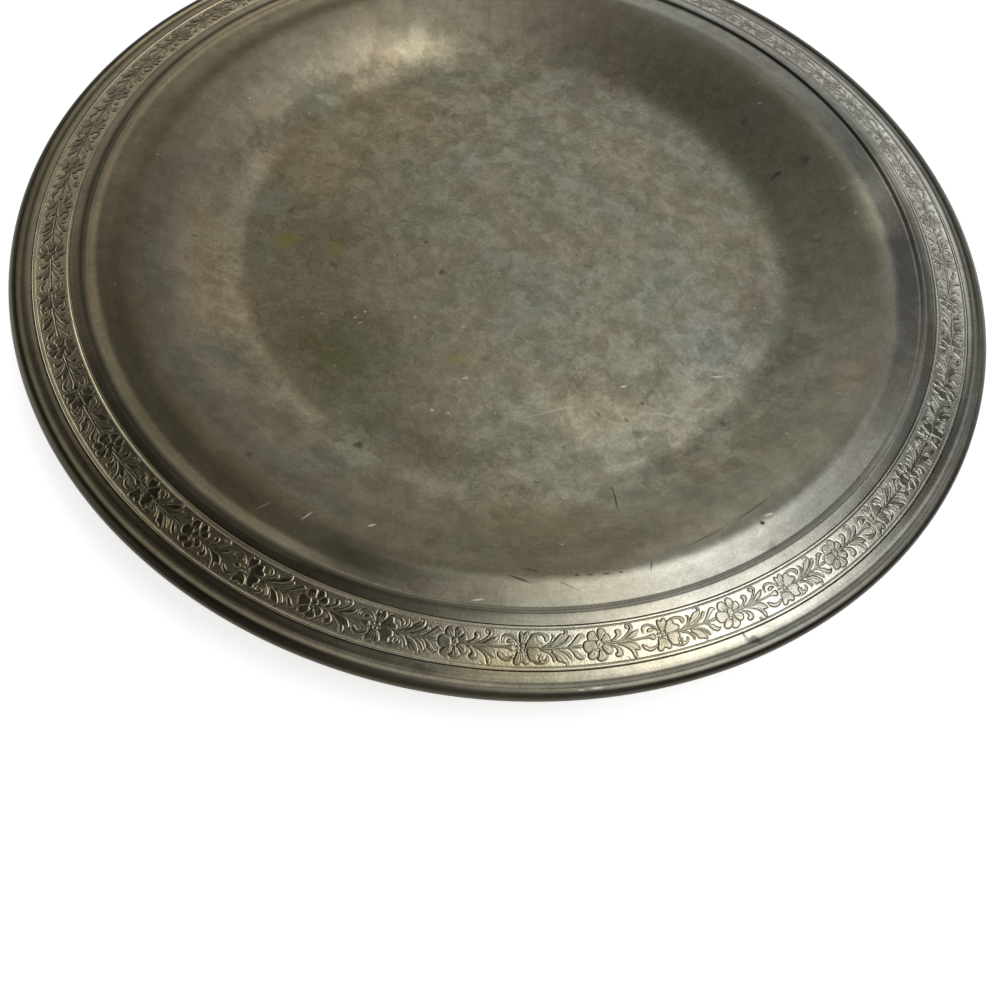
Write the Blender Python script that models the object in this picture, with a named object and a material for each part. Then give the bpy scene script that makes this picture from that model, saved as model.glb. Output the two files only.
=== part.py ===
# A wide, shallow pewter bowl with a wired rim and a rolled ornamental border.
# Metres, +Z up. The origin is on the table, under the middle of the foot ring.

import math

import bmesh
import bpy
from mathutils import Vector

mm = 0.001

# Sizes shared by the whole bowl
rim_radius = 140.0 * mm          # outside of the rolled edge
sheet = 1.0 * mm                 # thickness of the spun pewter
fit_gap = 0.3 * mm               # between pieces that touch
turn_steps = 72                  # facets round the bowl

# Rolled edge and the wire inside it
wire_radius = 0.7 * mm
crease_angle = math.radians(35)  # where the flange meets the roll, above its middle
seam_bead_radius = 0.25 * mm     # soft solder that holds the turned-in edge down

# Flange, from the rim inward
channel_width = 2.5 * mm         # plain hollow between the roll and the border
border_width = 9.4 * mm
margin_width = 3.15 * mm         # plain ring between the border and the step
flange_tilt_inner = math.radians(2)
flange_tilt_outer = math.radians(12)

# Step from the flange down to the well
step_width = 1.6 * mm
step_rise = 0.8 * mm
shoulder_width = 5.1 * mm        # level ring between the wall's top and the step

# Well
wall_run = 33.5 * mm
well_depth = 14.0 * mm

# Ornamental border strip, let into a seat in the flange
border_thickness = 0.7 * mm
ridge_width = 0.5 * mm
ridge_height = 0.15 * mm
groove_width = 0.35 * mm
groove_depth = 0.2 * mm

# Foot ring, soldered under the well
foot_height = 3.2 * mm
foot_wall = 1.3 * mm
foot_flare = 0.9 * mm
foot_bead = 1.1 * mm             # height of the thicker lower edge
foot_inset = 6.0 * mm            # foot's outside, in from the edge of the flat floor
foot_round = 0.35 * mm
foot_fillet = 1.2 * mm           # solder fillet inside the ring

# Radii that follow from the sizes
roll_radius = wire_radius + fit_gap + sheet
roll_middle = rim_radius - roll_radius
crease_radius = roll_middle - roll_radius * math.cos(crease_angle)
seat_outer = crease_radius - channel_width
seat_inner = seat_outer - border_width - 2 * fit_gap
step_radius = seat_inner - margin_width
shoulder_outer = step_radius - step_width
shoulder_inner = shoulder_outer - shoulder_width
floor_radius = shoulder_inner - wall_run
foot_radius = floor_radius - foot_inset

# Heights that follow from the sizes
floor_under = foot_height + fit_gap
floor_top = floor_under + sheet
shoulder_top = floor_top + well_depth
flange_top = shoulder_top + step_rise
seat_depth = border_thickness + fit_gap


def flange_z(radius):
    """Top of the flange: it tilts down outward, more and more towards the roll."""
    run = radius - step_radius
    start = math.tan(flange_tilt_inner)
    change = math.tan(flange_tilt_outer) - start
    return flange_top - start * run - change * run * run / (2 * (crease_radius - step_radius))


roll_z = flange_z(crease_radius) - roll_radius * math.sin(crease_angle)
seam_orbit = roll_radius - sheet / 2    # the seam's bead lies in line with the curl's sheet


def arc(middle, radius, start, end, steps):
    """Points along an arc, both ends included. Angles run from +radius towards +Z."""
    points = []
    for i in range(steps + 1):
        angle = start + (end - start) * i / steps
        points.append(Vector((middle[0] + radius * math.cos(angle),
                              middle[1] + radius * math.sin(angle))))
    return points


def spread(start, end, count):
    """Evenly spaced values from start to end, both included."""
    return [start + (end - start) * i / (count - 1) for i in range(count)]


def right_of(step):
    """Unit vector to the right of a step along a line."""
    return Vector((step.y, -step.x)).normalized()


def offset(line, distance):
    """The line moved to its own right by a distance, with mitred corners."""
    moved = []
    for i, point in enumerate(line):
        before = line[i] - line[i - 1] if i > 0 else line[1] - line[0]
        after = line[i + 1] - line[i] if i < len(line) - 1 else before
        side = right_of(before) + right_of(after)
        moved.append(point + side * (2 * distance / side.length_squared))
    return moved


def wall_line():
    """The well's wall: level at the floor and again at the shoulder."""
    points = []
    for t in spread(0.0, 1.0, 11):
        rise = t * t * (3 - 2 * t)
        points.append(Vector((floor_radius + wall_run * t, floor_top + well_depth * rise)))
    return points


def step_line():
    """A hollow cove that climbs from the shoulder to the flange's inner edge."""
    turn = 2 * math.atan2(step_rise, step_width)
    radius = step_width / math.sin(turn)
    middle = (shoulder_outer, shoulder_top + radius)
    return arc(middle, radius, -math.pi / 2, -math.pi / 2 + turn, 3)


def seat_line():
    """The shallow channel in the flange that the border strip lies in."""
    points = [Vector((seat_inner, flange_z(seat_inner)))]
    for radius in spread(seat_inner, seat_outer, 4):
        points.append(Vector((radius, flange_z(radius) - seat_depth)))
    points.append(Vector((seat_outer, flange_z(seat_outer))))
    return points


def under_crease():
    """Underside of the sheet at the crease, where the flange turns up into the roll."""
    climb = math.pi / 2 - crease_angle
    lean = (climb - flange_tilt_outer) / 2
    mitre = sheet / math.cos((climb + flange_tilt_outer) / 2)
    return Vector((crease_radius + mitre * math.sin(lean),
                   flange_z(crease_radius) - mitre * math.cos(lean)))


def seam_angles():
    """Angles round the roll, from +radius, of the solder bead and of the curl's raw edge."""
    corner = under_crease() - Vector((roll_middle, roll_z))
    reach = seam_bead_radius + fit_gap
    span = 2 * corner.length * seam_orbit
    turn = math.acos((corner.length_squared + seam_orbit ** 2 - reach ** 2) / span)
    bead_angle = math.atan2(corner.y, corner.x) + turn
    return bead_angle, bead_angle + math.asin(reach / seam_orbit)


def roll_line():
    """Over the top of the roll, round the outside and back in underneath."""
    raw_edge = seam_angles()[1] - 2 * math.pi
    return arc((roll_middle, roll_z), roll_radius, math.pi - crease_angle, raw_edge, 12)


def turned(name, outline, material):
    """Spin a closed outline round the Z axis into one solid object."""
    bm = bmesh.new()
    corners = [bm.verts.new((point[0], 0.0, point[1])) for point in outline]
    edges = [bm.edges.new((corners[i - 1], corners[i])) for i in range(len(corners))]
    if corners[0].co.x == 0.0:
        bm.edges.remove(edges.pop(0))
    bmesh.ops.spin(bm, geom=edges + corners, cent=(0, 0, 0), axis=(0, 0, 1),
                   angle=2 * math.pi, steps=turn_steps, use_merge=True)
    bmesh.ops.remove_doubles(bm, verts=bm.verts, dist=0.01 * mm)
    bmesh.ops.recalc_face_normals(bm, faces=bm.faces)
    mesh = bpy.data.meshes.new(name)
    bm.to_mesh(mesh)
    bm.free()
    mesh.shade_smooth()
    mesh.set_sharp_from_angle(angle=math.radians(30))
    mesh.materials.append(material)
    piece = bpy.data.objects.new(name, mesh)
    bpy.context.scene.collection.objects.link(piece)
    return piece


def metal(name, colour, roughness):
    """A bare metal finish."""
    material = bpy.data.materials.new(name)
    material.use_nodes = True
    shader = material.node_tree.nodes["Principled BSDF"]
    shader.inputs["Base Color"].default_value = (*colour, 1.0)
    shader.inputs["Metallic"].default_value = 1.0
    shader.inputs["Roughness"].default_value = roughness
    return material


def bowl_body():
    """One sheet of spun pewter, from the middle of the well to the curled edge."""
    upper = [Vector((0.0, floor_top))] + wall_line() + step_line() + seat_line() + roll_line()
    lower = offset(upper, sheet)
    return turned("bowl_body", upper + lower[::-1], metal("pewter", (0.31, 0.29, 0.22), 0.36))


def rim_wire():
    """The round wire that the edge is rolled over."""
    ring = arc((roll_middle, roll_z), wire_radius, 0.0, 2 * math.pi, 8)[:-1]
    return turned("rim_wire", ring, metal("rim wire", (0.42, 0.40, 0.36), 0.45))


def rim_solder():
    """The bead of solder between the curl's raw edge and the flange's underside."""
    angle = seam_angles()[0]
    middle = (roll_middle + seam_orbit * math.cos(angle), roll_z + seam_orbit * math.sin(angle))
    ring = arc(middle, seam_bead_radius, 0.0, 2 * math.pi, 6)[:-1]
    return turned("rim_solder", ring, metal("rim solder", (0.45, 0.44, 0.41), 0.5))


def border_edge(edge, inward):
    """One edge of the strip: a thin ridge and a fine groove inside it."""
    bevel = ridge_width / 4
    groove_middle = ridge_width + groove_width / 2
    heights = ((0.0, 0.0), (bevel, ridge_height), (ridge_width - bevel, ridge_height),
               (groove_middle, -groove_depth), (ridge_width + groove_width, 0.0))
    return [Vector((edge + inward * along, flange_z(edge + inward * along) + height))
            for along, height in heights]


def ornament_border():
    """The border strip: a plain ground for the scrolls between two edge ridges."""
    inner = seat_inner + fit_gap
    outer = seat_outer - fit_gap
    middle = (inner + outer) / 2
    upper = border_edge(inner, 1) + [Vector((middle, flange_z(middle)))] + border_edge(outer, -1)[::-1]
    lower = [Vector((radius, flange_z(radius) - border_thickness)) for radius in spread(inner, outer, 4)]
    return turned("ornament_border", upper + lower[::-1], metal("border pewter", (0.34, 0.32, 0.25), 0.38))


def foot_ring():
    """A flared ring with a thicker lower edge, flat where it stands."""
    outer_wall = foot_radius - foot_flare
    inner_wall = outer_wall - foot_wall
    outline = [Vector((inner_wall, 0.0))]
    outline += arc((foot_radius - foot_round, foot_round), foot_round, -math.pi / 2, 0.0, 3)
    outline += [Vector((foot_radius, foot_bead - foot_round))]
    outline += arc((outer_wall + foot_round, foot_bead + foot_round), foot_round, -math.pi / 2, -math.pi, 3)
    outline += [Vector((outer_wall, foot_height)), Vector((inner_wall, foot_height))]
    return turned("foot_ring", outline, metal("foot pewter", (0.30, 0.28, 0.22), 0.4))


def foot_solder():
    """The hollow fillet of solder inside the foot ring, under the floor."""
    corner = (foot_radius - foot_flare - foot_wall - fit_gap, floor_under - fit_gap)
    hollow = (corner[0] - foot_fillet, corner[1] - foot_fillet)
    outline = [Vector(corner)] + arc(hollow, foot_fillet, 0.0, math.pi / 2, 4)
    return turned("foot_solder", outline, metal("foot solder", (0.45, 0.44, 0.41), 0.5))


def main():
    for old in list(bpy.data.objects):
        bpy.data.objects.remove(old, do_unlink=True)
    for make in (bowl_body, rim_wire, rim_solder, ornament_border, foot_ring, foot_solder):
        piece = make()
        print(piece.name, len(piece.data.polygons), "faces")


main()
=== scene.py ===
import math

import bmesh
import bpy
import numpy as np
from mathutils import Matrix, Vector, noise


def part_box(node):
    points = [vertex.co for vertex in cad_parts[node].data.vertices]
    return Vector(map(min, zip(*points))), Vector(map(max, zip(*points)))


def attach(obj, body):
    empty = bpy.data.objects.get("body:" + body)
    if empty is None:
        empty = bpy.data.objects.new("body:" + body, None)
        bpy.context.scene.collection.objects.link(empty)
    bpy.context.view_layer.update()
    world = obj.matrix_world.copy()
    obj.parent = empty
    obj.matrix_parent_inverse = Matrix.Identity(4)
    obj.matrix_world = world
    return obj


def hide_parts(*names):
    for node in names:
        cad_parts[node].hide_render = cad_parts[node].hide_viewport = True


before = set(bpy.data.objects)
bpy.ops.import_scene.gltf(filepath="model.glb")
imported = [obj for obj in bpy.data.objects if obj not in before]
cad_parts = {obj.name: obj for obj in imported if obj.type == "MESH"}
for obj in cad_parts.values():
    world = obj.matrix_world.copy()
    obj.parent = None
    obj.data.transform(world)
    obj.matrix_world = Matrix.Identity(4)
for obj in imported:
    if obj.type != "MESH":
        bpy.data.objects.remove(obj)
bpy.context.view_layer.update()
print("frame loaded:", ", ".join(sorted(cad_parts)))

mm = 0.001
weldDistance = 0.002 * mm

# What the frame already says about the bowl
bodyLow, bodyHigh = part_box("bowl_body")
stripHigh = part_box("ornament_border")[1]
wireLow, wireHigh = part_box("rim_wire")
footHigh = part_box("foot_ring")[1]
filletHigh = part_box("foot_solder")[1]

bodyShape = {
    "sheet": 1.0 * mm,
    "fitGap": 0.3 * mm,
    "borderWidth": 9.4 * mm,
    "marginWidth": 3.15 * mm,
    "innerTilt": math.radians(2),
    "outerTilt": math.radians(12),
    "stepWidth": 1.6 * mm,
    "stepRise": 0.8 * mm,
    "shoulderWidth": 5.1 * mm,
    "wallRun": 33.5 * mm,
    "creaseAngle": math.radians(35),
    "seatDepth": 1.0 * mm,
    "jointGap": 0.09 * mm,       # dark line on each side of the border strip
    "edgeRound": 0.22 * mm,
    "stepRound": 0.55 * mm,
    "creaseRound": 1.3 * mm,
    "fullestRound": 0.48,        # share of an edge that a rounded corner may take
    "seamBead": 0.25 * mm,
    "turnSteps": 384,
    "unevenness": 0.035 * mm,    # the spun sheet isn't perfectly true
    "unevenSpan": 26.0 * mm,
}

sheet = bodyShape["sheet"]
fitGap = bodyShape["fitGap"]
rimRadius = bodyHigh.x
wireRadius = (wireHigh.z - wireLow.z) / 2
rollRadius = wireRadius + fitGap + sheet
rollMiddle = Vector((rimRadius - rollRadius, (wireHigh.z + wireLow.z) / 2))
creaseRadius = rollMiddle.x - rollRadius * math.cos(bodyShape["creaseAngle"])
seatOuter = stripHigh.x + fitGap
seatInner = seatOuter - bodyShape["borderWidth"] - 2 * fitGap
stepRadius = seatInner - bodyShape["marginWidth"]
shoulderOuter = stepRadius - bodyShape["stepWidth"]
shoulderInner = shoulderOuter - bodyShape["shoulderWidth"]
floorRadius = shoulderInner - bodyShape["wallRun"]
floorTop = bodyLow.z + sheet
flangeTop = bodyHigh.z
shoulderTop = flangeTop - bodyShape["stepRise"]
stripInnerEdge = seatInner + bodyShape["jointGap"] * 1.5
stripOuterEdge = seatOuter - bodyShape["jointGap"] * 1.5


def flangeZ(radius):
    run = radius - stepRadius
    start = math.tan(bodyShape["innerTilt"])
    change = math.tan(bodyShape["outerTilt"]) - start
    return flangeTop - start * run - change * run * run / (2 * (creaseRadius - stepRadius))


def spread(start, end, count):
    return [start + (end - start) * i / (count - 1) for i in range(count)]


def arc(middle, radius, start, end, steps):
    angles = spread(start, end, steps + 1)
    return [Vector((middle[0] + radius * math.cos(a), middle[1] + radius * math.sin(a))) for a in angles]


def offsetLine(line, distance):
    # each corner moves to the line's own right, along its mitre
    moved = []
    for i, point in enumerate(line):
        before = line[i] - line[i - 1] if i > 0 else line[1] - line[0]
        after = line[i + 1] - line[i] if i < len(line) - 1 else before
        side = Vector((before.y, -before.x)).normalized() + Vector((after.y, -after.x)).normalized()
        moved.append(point + side * (2 * distance / side.length_squared))
    return moved


def bend(start, corner, end, steps):
    # a smooth bend from start to end that leans into the corner
    return [start * (1 - t) ** 2 + corner * 2 * t * (1 - t) + end * t * t for t in spread(0.0, 1.0, steps)]


def roundCorners(line, rounds, steps=5):
    # rounds: corner index -> radius of the small fillet there
    points = []
    for i, corner in enumerate(line):
        if i not in rounds:
            points.append(corner)
            continue
        back = line[i - 1] - corner
        ahead = line[i + 1] - corner
        longest = bodyShape["fullestRound"] * min(back.length, ahead.length)
        reach = min(rounds[i] / math.tan(back.angle(ahead) / 2), longest)
        start = corner + back.normalized() * reach
        end = corner + ahead.normalized() * reach
        points += bend(start, corner, end, steps)
    return points


def softCorner(line, corner, reach, steps=8):
    # a corner between finely drawn curves: the points within reach of it give way to one bend
    before = [p for p in line[:corner] if (p - line[corner]).length > reach]
    after = [p for p in line[corner + 1:] if (p - line[corner]).length > reach]
    return before + bend(before[-1], line[corner], after[0], steps)[1:-1] + after


def spinRound(bm, turn, steps, halvings):
    # spins a short stretch and doubles it until it's whole, much quicker than one long spin
    part = 2 ** halvings
    bmesh.ops.spin(bm, geom=bm.verts[:] + bm.edges[:], cent=(0, 0, 0), axis=(0, 0, 1),
                   angle=turn / part, steps=steps // part, use_merge=False)
    for i in range(halvings):
        copy = bmesh.ops.duplicate(bm, geom=bm.verts[:] + bm.edges[:] + bm.faces[:])["geom"]
        bmesh.ops.rotate(bm, verts=[v for v in copy if isinstance(v, bmesh.types.BMVert)], cent=(0, 0, 0),
                         matrix=Matrix.Rotation(turn / part * 2 ** i, 3, "Z"))
    bmesh.ops.remove_doubles(bm, verts=bm.verts, dist=weldDistance)


def turnPiece(name, outline, steps, closed=True, sharp=40):
    bm = bmesh.new()
    corners = [bm.verts.new((point.x, 0.0, point.y)) for point in outline]
    for a, b in zip(corners, corners[1:]):
        bm.edges.new((a, b))
    if closed:
        bm.edges.new((corners[-1], corners[0]))
    spinRound(bm, 2 * math.pi, steps, 4)
    bmesh.ops.recalc_face_normals(bm, faces=bm.faces)
    return finishMesh(name, bm, sharp)


def finishMesh(name, bm, sharp):
    mesh = bpy.data.meshes.new(name)
    bm.to_mesh(mesh)
    bm.free()
    mesh.shade_smooth()
    mesh.set_sharp_from_angle(angle=math.radians(sharp))
    piece = bpy.data.objects.new(name, mesh)
    bpy.context.scene.collection.objects.link(piece)
    return piece


def placePiece(piece, node, material):
    piece.data.materials.clear()
    piece.data.materials.append(material)
    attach(piece, "root")
    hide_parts(node)
    print(piece.name, "made:", len(piece.data.polygons), "faces")


# The body: one sheet, from the middle of the well to the curled edge


def underCrease():
    climb = math.pi / 2 - bodyShape["creaseAngle"]
    lean = (climb - bodyShape["outerTilt"]) / 2
    mitre = sheet / math.cos((climb + bodyShape["outerTilt"]) / 2)
    return Vector((creaseRadius + mitre * math.sin(lean), flangeZ(creaseRadius) - mitre * math.cos(lean)))


def seamAngles():
    corner = underCrease() - rollMiddle
    orbit = rollRadius - sheet / 2
    reach = bodyShape["seamBead"] + fitGap
    turn = math.acos((corner.length_squared + orbit ** 2 - reach ** 2) / (2 * corner.length * orbit))
    beadAngle = math.atan2(corner.y, corner.x) + turn
    return beadAngle, beadAngle + math.asin(reach / orbit)


def bodyLine(fine):
    # fine: how closely the curves are drawn
    line = [Vector((r, floorTop)) for r in spread(0.0, floorRadius, 6 + 18 * fine)[:-1]]
    for t in spread(0.0, 1.0, 17 + 28 * fine):
        rise = (shoulderTop - floorTop) * t * t * (3 - 2 * t)
        line.append(Vector((floorRadius + bodyShape["wallRun"] * t, floorTop + rise)))
    turn = 2 * math.atan2(bodyShape["stepRise"], bodyShape["stepWidth"])
    coveRadius = bodyShape["stepWidth"] / math.sin(turn)
    line += arc((shoulderOuter, shoulderTop + coveRadius), coveRadius, -math.pi / 2, -math.pi / 2 + turn,
                3 + 4 * fine)
    rounds = {}
    stepEdge = line[-1]
    line += [Vector((r, flangeZ(r))) for r in spread(stepRadius, seatInner, 3 + 2 * fine)[1:]]
    rounds[len(line) - 1] = bodyShape["edgeRound"] / 2
    depth = bodyShape["seatDepth"]
    line += [Vector((r, flangeZ(r) - depth)) for r in spread(seatInner, seatOuter, 4)]
    line += [Vector((r, flangeZ(r))) for r in spread(seatOuter, creaseRadius, 3 + 3 * fine)]
    rounds[len(line) - 3 - 3 * fine] = bodyShape["edgeRound"] / 2
    crease = line[-1]
    rawEdge = seamAngles()[1] - 2 * math.pi
    line += arc(rollMiddle, rollRadius, math.pi - bodyShape["creaseAngle"], rawEdge, 16 + 28 * fine)[1:]
    if fine:
        line = roundCorners(line, rounds)
        line = softCorner(line, line.index(stepEdge), bodyShape["stepRound"])
        line = softCorner(line, line.index(crease), bodyShape["creaseRound"])
    return line


def makeBody():
    upper = bodyLine(1)
    lower = offsetLine(bodyLine(0), sheet)
    piece = turnPiece("bowlBody", upper + lower[::-1], bodyShape["turnSteps"], closed=False)
    span = bodyShape["unevenSpan"]
    for vertex in piece.data.vertices:
        lift = noise.noise(Vector((vertex.co.x, vertex.co.y, 0.0)) / span)
        away = max(0.0, 1 - vertex.co.xy.length / (stepRadius - 3 * mm))
        vertex.co.z += bodyShape["unevenness"] * lift * min(1.0, 4 * away)
    return piece


# The ornament, drawn once in millimetres and repeated round the border.
# Across a repeat x runs along the strip and y outward from its middle line.

ornament = {
    "repeats": 25,
    "pieces": 10,
    "firstFlower": math.radians(-0.9),  # angle from the point nearest the camera
    "stepsPerPiece": 672,
    "rowSpacing": 0.126 * mm,
    "edgeRows": 13,
    "ridgeWidth": 0.6 * mm,
    "ridgeHeight": 0.10 * mm,
    "grooveWidth": 0.34 * mm,
    "grooveDepth": 0.10 * mm,
    "grooveShade": 0.13 * mm,    # half width of the dark line in the groove
    "grooveDark": 0.75,
    "edgeBlend": 0.1 * mm,
    "thickness": 0.7 * mm,
    "topShare": 0.4,             # the top is what lies above this share of the thickness
    "relief": 0.085 * mm,
    "outlineDepth": 0.05 * mm,
    "stipple": 0.012 * mm,
    "stippleSize": 0.3 * mm,
    "smoothShapes": 0.75,        # share of the stipple that the raised shapes lose
    "bossHeight": 0.8,           # shares of a leaf's height
    "rayHeight": 0.12,
    "veinDepth": 0.55,           # shares of an outline's depth
    "sprigDepth": 0.9,
    "rayLine": 0.6,
    "rays": 24,
    "petalGrowth": 1.12,
    "seed": 7,
}

# The same drawing's small measures, in mm
stroke = {
    "slope": 0.42,               # from a shape's outline to its full height
    "outlineWidth": 0.10,
    "outlineAway": 0.02,         # how far outside the shape the outline is deepest
    "veinWidth": 0.085,
    "cover": 0.08,               # over which a shape hides the lines below it
    "blur": 0.1,
    "rayEnd": 3.0,               # from the flower's eye
    "rayFade": 1.25,
    "wander": 0.07,              # by which a hand-cut shape strays
    "aroundShape": 0.4,
    "aroundStem": 1.0,
}
stripEdge = ornament["ridgeWidth"] + ornament["grooveWidth"]
stripMiddle = (seatInner + seatOuter) / 2

# Leaves, scrolls and stems, lowest first: a closed outline, and the veins cut in it
leaves = [
    # commas beside the first flower, above and below
    ([(3.2, -0.6), (4.2, -1.1), (4.75, -1.6), (4.85, -2.0), (4.62, -2.45), (4.9, -2.85), (5.35, -2.97),
      (5.8, -2.75), (6.05, -2.25), (5.92, -1.7), (5.5, -1.2), (4.8, -0.8), (4.0, -0.45)], []),
    ([(3.2, 0.4), (3.95, 0.85), (4.35, 1.35), (4.4, 1.9), (3.95, 2.2), (3.95, 2.75), (4.35, 3.05),
      (4.85, 3.1), (5.35, 2.85), (5.67, 2.3), (5.63, 1.7), (5.25, 1.1), (4.7, 0.65), (4.0, 0.3)], []),
    # leaves on the first stem
    ([(5.6, -0.25), (6.8, -0.75), (7.7, -1.3), (8.5, -1.8), (9.3, -2.1), (10.25, -2.3), (9.95, -1.55),
      (9.45, -1.0), (8.7, -0.6), (7.5, -0.35)], [[(6.6, -0.5), (7.8, -0.95), (9.2, -1.6)]]),
    ([(4.6, 0.15), (5.5, 0.6), (6.4, 1.1), (7.1, 1.65), (7.6, 2.3), (7.85, 3.1), (8.05, 3.7), (8.35, 4.08),
      (8.7, 3.4), (8.8, 2.7), (8.5, 2.1), (9.1, 2.2), (9.75, 2.1), (9.5, 1.3), (9.1, 0.7), (8.2, 0.2),
      (6.4, 0.1)], [[(5.6, 0.35), (7.0, 0.9), (7.9, 1.5), (8.5, 2.15)], [(7.6, 0.6), (8.6, 1.0), (9.3, 1.7)],
                    [(7.9, 1.6), (8.2, 2.4), (8.3, 3.3)]]),
    # lower C scroll, with its curl
    ([(10.05, 1.15), (10.25, 1.95), (10.8, 2.52), (11.5, 2.88), (12.2, 2.95), (13.0, 2.68), (13.85, 2.05),
      (13.7, 1.65), (13.0, 1.95), (12.4, 2.02), (11.8, 1.95), (11.1, 1.5), (10.5, 1.1)],
     [[(11.15, 1.15), (11.5, 1.75), (11.95, 2.0)], [(12.1, 1.1), (12.3, 1.5), (12.5, 1.85)],
      [(11.2, 2.2), (12.0, 2.45), (12.9, 2.2)]]),
    ([(12.0, -1.2), (12.1, -1.7), (12.6, -2.05), (13.3, -2.0), (13.9, -1.5), (13.3, -1.3), (12.7, -1.1)],
     [[(12.4, -1.3), (12.9, -1.65), (13.6, -1.45)]]),
    # beyond the second flower: its two commas
    ([(17.4, -2.9), (18.2, -3.3), (19.2, -3.45), (20.3, -3.35), (21.1, -2.95), (21.5, -2.3), (21.3, -1.7),
      (20.75, -1.45), (20.55, -1.9), (20.35, -2.45), (19.8, -2.8), (18.9, -2.85), (18.0, -2.65)],
     [[(20.7, -2.9), (21.0, -2.4), (20.95, -1.9)]]),
    ([(18.0, 3.1), (18.9, 3.4), (19.9, 3.35), (20.75, 3.0), (21.2, 2.5), (21.2, 1.85), (20.8, 1.6),
      (20.75, 2.1), (20.3, 2.5), (19.7, 2.3), (19.9, 1.8), (19.5, 1.6), (19.15, 2.2), (19.3, 2.8)],
     [[(19.6, 3.0), (20.5, 2.75), (20.95, 2.2)]]),
    # leaves above the second stem
    ([(20.1, -0.3), (21.0, -0.75), (21.8, -1.25), (22.2, -1.85), (22.45, -2.45), (22.2, -3.05), (22.75, -2.8),
      (22.95, -2.2), (22.7, -1.5), (22.1, -0.9), (21.2, -0.35)], []),
    ([(21.6, -0.45), (22.6, -1.35), (23.3, -2.1), (23.9, -2.7), (24.5, -3.05), (25.15, -3.1), (25.35, -3.4),
      (25.15, -3.75), (24.6, -3.7), (24.5, -4.0), (25.2, -4.1), (25.85, -3.85), (26.05, -3.3), (26.0, -2.7),
      (25.7, -2.1), (25.0, -1.5), (24.2, -1.05), (23.2, -0.75), (22.2, -0.4)],
     [[(22.3, -0.8), (23.6, -1.4), (24.7, -2.2), (25.4, -2.9)], [(23.5, -1.7), (24.2, -2.2), (24.9, -2.7)]]),
    ([(22.9, -0.4), (24.2, -0.85), (25.2, -1.4), (25.9, -2.05), (26.45, -2.75), (26.85, -2.5), (26.82, -1.9),
      (26.2, -1.35), (25.2, -0.8), (24.0, -0.3)], [[(24.0, -0.55), (25.4, -1.15), (26.4, -2.0)]]),
    ([(25.6, -0.1), (26.6, -0.9), (27.3, -1.6), (27.9, -2.3), (28.5, -2.85), (29.1, -2.98), (29.7, -2.6),
      (29.95, -2.15), (29.2, -2.0), (28.5, -1.55), (27.8, -1.0), (26.8, -0.35)],
     [[(26.6, -0.6), (27.8, -1.55), (28.9, -2.4)]]),
    # and below it
    ([(19.6, 0.3), (21.0, 0.5), (22.0, 1.0), (22.6, 1.7), (22.85, 2.5), (22.35, 3.0), (22.15, 2.3),
      (21.7, 1.5), (21.1, 1.05), (20.2, 0.75)], []),
    ([(22.3, 0.25), (23.3, 0.6), (24.2, 0.95), (24.9, 1.6), (25.4, 2.3), (25.65, 2.95), (25.4, 3.55),
      (25.0, 3.45), (24.5, 3.15), (23.85, 3.1), (23.35, 2.75), (23.2, 2.2), (22.85, 1.6), (22.3, 1.0)],
     [[(22.8, 0.8), (23.9, 1.4), (24.7, 2.2), (25.2, 3.0)], [(23.1, 1.5), (23.7, 2.0), (24.2, 2.7)]]),
    ([(23.2, 0.2), (24.3, 0.42), (25.2, 0.72), (25.8, 1.1), (26.25, 1.65), (26.55, 2.3), (26.55, 2.85),
      (26.1, 2.6), (25.6, 1.85), (24.9, 1.2), (24.1, 0.7)], []),
    ([(25.8, 0.2), (26.6, 0.85), (27.0, 1.55), (27.4, 2.2), (28.0, 2.7), (28.6, 2.85), (29.15, 2.55),
      (29.6, 2.0), (29.0, 2.0), (28.4, 1.6), (28.0, 1.05), (27.2, 0.6), (26.5, 0.25)],
     [[(26.6, 0.5), (27.5, 1.3), (28.5, 2.2)]]),
]

# Scrolls and stems, painted over the leaves: the middle line, and half the width at each point
stems = [
    ([(5.2, -0.5), (6.4, -0.95), (7.5, -1.7), (8.25, -2.45), (8.55, -3.15), (8.15, -3.7), (7.55, -3.6),
      (7.35, -3.1), (7.7, -2.85)], [0.12, 0.2, 0.26, 0.34, 0.38, 0.3, 0.26, 0.24, 0.16]),
    ([(11.05, -1.3), (11.1, -2.15), (11.7, -2.72), (12.6, -2.8), (13.5, -2.45), (14.2, -1.8), (14.6, -1.15)],
     [0.16, 0.26, 0.3, 0.28, 0.25, 0.25, 0.2]),
    ([(1.0, -0.12), (2.5, -0.15), (4.5, -0.2), (7.0, -0.12), (10.0, -0.12), (12.0, -0.15), (13.2, 0.0)],
     [0.2, 0.28, 0.3, 0.22, 0.24, 0.33, 0.72]),
    ([(19.2, 0.0), (21.0, 0.05), (23.0, -0.05), (25.0, 0.02), (27.0, -0.03), (28.3, -0.08), (28.9, -0.1)],
     [0.26, 0.34, 0.3, 0.22, 0.24, 0.36, 0.3]),
    ([(25.45, 3.45), (25.15, 3.95), (24.75, 4.2), (24.4, 4.3)], [0.16, 0.12, 0.1, 0.13]),
]

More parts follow.
